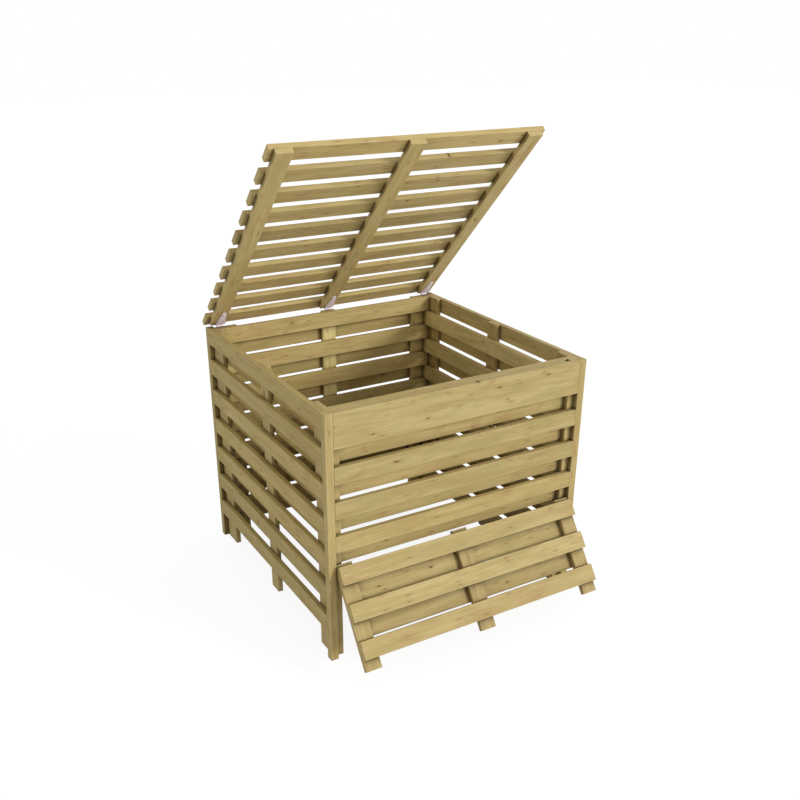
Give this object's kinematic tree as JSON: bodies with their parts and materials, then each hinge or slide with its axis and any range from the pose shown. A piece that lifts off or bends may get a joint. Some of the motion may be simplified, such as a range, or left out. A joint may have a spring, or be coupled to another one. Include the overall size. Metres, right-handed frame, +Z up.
{
  "type": "compost bin",
  "caption": "Square slatted wooden compost bin with an open bottom, a slatted lid hinged along the back and a slatted hatch pivoted low in the front wall.",
  "frame": {"origin": "on the ground, in the middle of the outline of the four walls", "axes": "+Z up, +Y towards the back where the lid hinges are, +X to the right for someone standing in front"},
  "size_m": [1.004, 1.2168, 1.6118],
  "materials": {
    "wood": "planed pine with a pale green-brown impregnation, matte",
    "hinge_metal": "zinc-plated, satin"
  },
  "bodies": {
    "bin": {"back_batten_left": "wood", "back_batten_middle": "wood", "back_batten_right": "wood", "back_inner_slats": "wood", "back_outer_slats": "wood", "corner_post_back_left": "wood", "corner_post_back_right": "wood", "corner_post_front_left": "wood", "corner_post_front_right": "wood", "corner_trim_back_left": "wood", "corner_trim_back_right": "wood", "corner_trim_front_left": "wood", "corner_trim_front_right": "wood", "front_inner_slats": "wood", "front_slat_1": "wood", "front_slat_2": "wood", "front_slat_3": "wood", "front_slat_4": "wood", "front_slat_5": "wood", "hatch_pivot_pins": "hinge_metal", "hinge_plate_screws": "hinge_metal", "left_batten_back": "wood", "left_batten_front": "wood", "left_batten_middle": "wood", "left_inner_slats": "wood", "left_outer_slats": "wood", "lid_hinge_pins": "hinge_metal", "lid_hinge_plate_left": "hinge_metal", "lid_hinge_plate_middle": "hinge_metal", "lid_hinge_plate_right": "hinge_metal", "right_batten_back": "wood", "right_batten_front": "wood", "right_batten_middle": "wood", "right_inner_slats": "wood", "right_outer_slats": "wood"},
    "lid": {"hinge_leaf_screws": "hinge_metal", "lid_batten_left": "wood", "lid_batten_middle": "wood", "lid_batten_right": "wood", "lid_hinge_leaf_left": "hinge_metal", "lid_hinge_leaf_middle": "hinge_metal", "lid_hinge_leaf_right": "hinge_metal", "lid_slat_1": "wood", "lid_slat_10": "wood", "lid_slat_2": "wood", "lid_slat_3": "wood", "lid_slat_4": "wood", "lid_slat_5": "wood", "lid_slat_6": "wood", "lid_slat_7": "wood", "lid_slat_8": "wood", "lid_slat_9": "wood"},
    "hatch": {"hatch_batten_left": "wood", "hatch_batten_middle": "wood", "hatch_batten_right": "wood", "hatch_inner_slat_lower": "wood", "hatch_inner_slat_upper": "wood", "hatch_slat_bottom": "wood", "hatch_slat_middle": "wood", "hatch_slat_top": "wood"}
  },
  "joints": [
    {"name": "lid_hinge", "type": "hinge", "parent": "bin", "child": "lid", "pos_m": [0, 0.486, 0.885], "axis": [-1, 0, 0], "range_deg": [-45.35, 54.65]},
    {"name": "hatch_hinge", "type": "hinge", "parent": "bin", "child": "hatch", "pos_m": [0, -0.48975, 0.3466], "axis": [-1, 0, 0], "range_deg": [-34.69, 53.31]}
  ]
}
